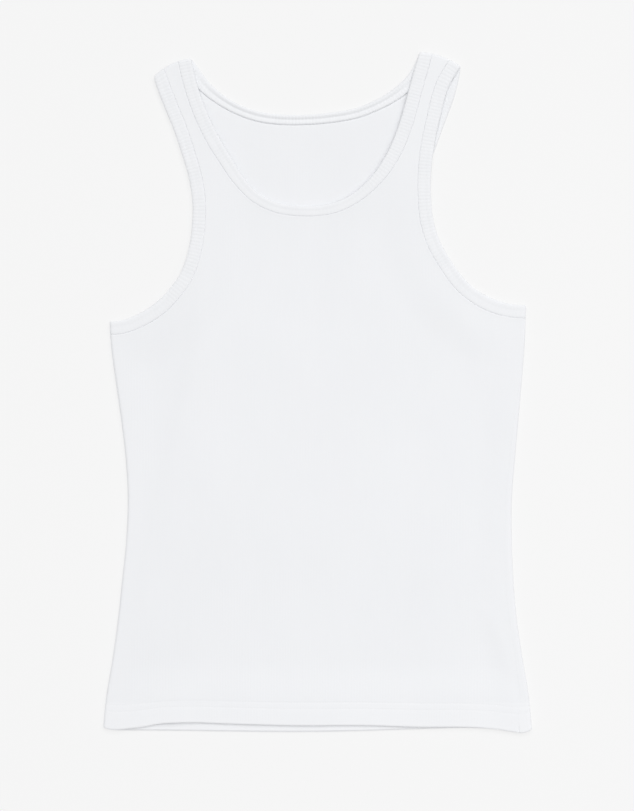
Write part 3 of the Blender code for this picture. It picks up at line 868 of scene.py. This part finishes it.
binding_rib = coarse_rib("white cotton binding", WHITE_DARK, WHITE_LIGHT)
bindings = {}
for edge, node in (("neck", "neck_binding"), ("left", "armhole_binding_left"),
                   ("right", "armhole_binding_right")):
    bindings[edge] = make_binding(node + "_cloth", edge, binding_rib)
    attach(bindings[edge], "root")
    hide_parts(node)


# ---------------------------------------------------------------- stitching
# White cotton thread: two rows along the hem of the front, and two along the back's. Each
# stitch is a short bead of thread sunk into the cloth, and each hem's stitches are a piece.
STITCH_PITCH = 2.6
STITCH_LENGTH = 2.1
THREAD = 0.24
THREAD_DEPTH = 0.22  # the middle of the thread lies this far below the face
SEAM_CLEARANCE = 0.8
white_thread = Finish("white thread", (0.90, 0.905, 0.92), 0.6, sheen=0.05).material


def row_of_stitches(mesh, start, end, across):
    count = int((end - start) / STITCH_PITCH)
    for n in range(count):
        middle = Vector((start + (n + 0.5) * (end - start) / count, across, -THREAD_DEPTH))
        shape = Matrix.Diagonal((STITCH_LENGTH / 2, THREAD, THREAD * 0.8, 1))
        bmesh.ops.create_uvsphere(mesh, u_segments=6, v_segments=5, radius=1,
                                  matrix=Matrix.Translation(middle) @ shape)


def make_hem_stitches(name, layer):
    """Both rows are made in the flat, from seam to seam, and laid as the cloth is."""
    mesh = bmesh.new()
    for row in STITCH_ROWS:
        left, right = (float(seam_in_flat(layer, side, HEM_LINE + row)) for side in ("left", "right"))
        row_of_stitches(mesh, left + SEAM_CLEARANCE, right - SEAM_CLEARANCE, HEM_LINE + row)
    data = bpy.data.meshes.new(name)
    mesh.to_mesh(data)
    mesh.free()
    x, y, above = coordinates(data).T.copy()
    set_coordinates(data, lay(*from_flat(x, y, layer), above, layer))
    return finished_object(name, data, white_thread)


hem_stitches = {}
for layer in (FRONT, BACK):
    hem_stitches[layer] = make_hem_stitches("hem_stitches_" + layer, layer)
    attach(hem_stitches[layer], "root")


# ---------------------------------------------------------------- table, light and camera
# A plain pale table top that glows a little, one broad soft light from beyond the neck, a
# weak one from the right and an even white surround, with the camera looking straight down.
FLOOR_COLOUR = (0.30, 0.30, 0.30)
FLOOR_GLOW = 0.63
FLOOR_DROP = 0.0001  # keeps the table clear of the cloth that lies on it


def make_floor():
    mesh = bmesh.new()
    bmesh.ops.create_grid(mesh, x_segments=1, y_segments=1, size=3.0,
                          matrix=Matrix.Translation((0, 0, -FLOOR_DROP)))
    data = bpy.data.meshes.new("floor")
    mesh.to_mesh(data)
    mesh.free()
    floor = bpy.data.objects.new("floor", data)
    bpy.context.scene.collection.objects.link(floor)
    finish = Finish("pale table", FLOOR_COLOUR, 0.95)
    finish.shader.inputs["Specular IOR Level"].default_value = 0.0
    finish.shader.inputs["Emission Color"].default_value = (1, 1, 1, 1)
    finish.shader.inputs["Emission Strength"].default_value = FLOOR_GLOW
    data.materials.append(finish.material)


make_floor()

world = bpy.data.worlds.new("surround")
world.use_nodes = True
world.node_tree.nodes["Background"].inputs["Color"].default_value = (1, 1, 1, 1)
world.node_tree.nodes["Background"].inputs["Strength"].default_value = 0.49
bpy.context.scene.world = world


def toward(azimuth, elevation):
    azimuth, elevation = math.radians(azimuth), math.radians(elevation)
    level = math.cos(elevation)
    return Vector((math.cos(azimuth) * level, math.sin(azimuth) * level, math.sin(elevation)))


def add_light(name, kind, azimuth, elevation, energy):
    light = bpy.data.objects.new(name, bpy.data.lights.new(name, kind))
    light.data.energy = energy
    light.rotation_euler = toward(azimuth, elevation).to_track_quat("Z", "Y").to_euler()
    bpy.context.scene.collection.objects.link(light)
    return light


window = add_light("window_light", "SUN", 80, 66, 1.46)
window.data.angle = math.radians(60)
lamp = add_light("side_lamp", "AREA", -4, 50, 1.9)
lamp.data.size = 0.8
lamp.location = toward(-4, 50) * 1.5

camera = bpy.data.objects.new("camera", bpy.data.cameras.new("camera"))
camera.data.lens = 100
camera.data.sensor_width = 36
camera.location = (-0.0009, -0.0112, 1.9375)
bpy.context.scene.collection.objects.link(camera)
bpy.context.scene.camera = camera
bpy.context.scene.view_settings.view_transform = "Standard"
